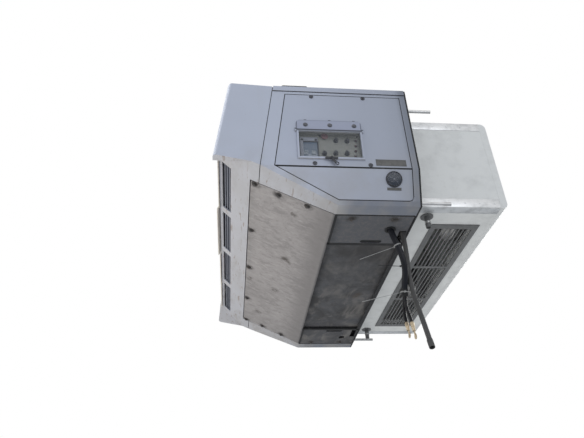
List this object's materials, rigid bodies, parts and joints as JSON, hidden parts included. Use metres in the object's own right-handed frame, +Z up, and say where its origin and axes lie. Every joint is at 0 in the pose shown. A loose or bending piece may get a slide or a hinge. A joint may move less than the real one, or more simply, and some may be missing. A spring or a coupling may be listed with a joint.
{
  "type": "truck refrigeration unit",
  "caption": "Nose-mounted refrigeration unit of a box truck, with a moulded cowl, service panels, a windowed control panel and an evaporator case behind the wall.",
  "frame": {"origin": "middle of the four wall studs, on the outer face of the box's front wall", "axes": "+X to the vehicle's left, +Y rearwards into the box, +Z up"},
  "size_m": [1.3951, 1.0065, 0.9151],
  "materials": {
    "cowl_paint": "semi-gloss",
    "cover_paint": "semi-gloss",
    "panel_paint": "semi-gloss",
    "belly_paint": "dull",
    "frame_paint": "matt",
    "seal_rubber": "matt",
    "slat_plastic": "matt",
    "lip_plastic": "matt",
    "zinc_steel": "satin",
    "guard_wire": "satin",
    "motor_paint": "satin",
    "coil_fins": "matt",
    "fan_plastic": "matt",
    "engine_iron": "rough",
    "compressor_metal": "cast",
    "case_plastic": "semi-gloss",
    "grille_plastic": "matt",
    "instrument_plate": "matt",
    "knob_plastic": "satin",
    "lamp_plastic": "glossy",
    "window_pane": "clear",
    "latch_steel": "dull",
    "sleeve_rubber": "satin",
    "cable_rubber": "satin",
    "lug_brass": "dull",
    "hose_plastic": "matt"
  },
  "bodies": {
    "unit": {"mounting_frame": "frame_paint", "wall_studs": "zinc_steel", "bulkhead_gasket": "seal_rubber", "front_cowl": "cowl_paint", "grille_slats": "slat_plastic", "front_lip_strips": "lip_plastic", "top_cover": "cover_paint", "lifting_plates": "zinc_steel", "end_cover_left": "cover_paint", "end_cover_right": "cover_paint", "service_panel_left": "panel_paint", "service_panel_right": "panel_paint", "lower_panel_left": "panel_paint", "lower_panel_right": "panel_paint", "belly_slope_panel": "belly_paint", "belly_rear_panel": "belly_paint", "belly_plate_left": "belly_paint", "belly_plate_right": "belly_paint", "condenser_coil": "coil_fins", "condenser_fan_shroud": "zinc_steel", "condenser_fan_motor": "motor_paint", "condenser_fan_guard": "guard_wire", "engine_block": "engine_iron", "compressor": "compressor_metal", "evaporator_housing": "case_plastic", "evaporator_fan_panel": "case_plastic", "evaporator_coil": "coil_fins", "evaporator_fan_rings": "zinc_steel", "evaporator_fan_motors": "motor_paint", "evaporator_fan_guards": "guard_wire", "return_air_grille": "grille_plastic", "drain_spouts": "grille_plastic", "control_box": "instrument_plate", "control_hinge_strip": "panel_paint", "control_knobs": "knob_plastic", "control_lamps": "lamp_plastic", "control_meter": "knob_plastic", "round_gauge": "knob_plastic", "cable_grommet": "seal_rubber", "cable_sleeve": "sleeve_rubber", "cable_boot": "seal_rubber", "battery_cable_a": "cable_rubber", "battery_cable_b": "cable_rubber", "cable_lugs": "lug_brass", "drain_hose": "hose_plastic", "drain_cuff": "hose_plastic"},
    "control_flap": {"control_cover": "panel_paint", "control_pane": "window_pane", "cover_latch": "latch_steel"},
    "condenser_rotor": {"condenser_fan": "fan_plastic"},
    "evaporator_rotor_left": {"evaporator_fan_left": "fan_plastic"},
    "evaporator_rotor_right": {"evaporator_fan_right": "fan_plastic"}
  },
  "joints": [
    {"name": "control_flap_hinge", "type": "hinge", "parent": "unit", "child": "control_flap", "pos_m": [0.6883, -0.29, 0.031], "axis": [0, -1, 0], "range_deg": [0, 100]},
    {"name": "condenser_fan_spin", "type": "hinge", "parent": "unit", "child": "condenser_rotor", "pos_m": [0, -0.25, 0.2], "axis": [0, 0, 1], "continuous": true},
    {"name": "evaporator_fan_left_spin", "type": "hinge", "parent": "unit", "child": "evaporator_rotor_left", "pos_m": [0.29, 0.305, 0], "axis": [0, 1, 0], "continuous": true},
    {"name": "evaporator_fan_right_spin", "type": "hinge", "parent": "unit", "child": "evaporator_rotor_right", "pos_m": [-0.29, 0.305, 0], "axis": [0, 1, 0], "continuous": true}
  ]
}
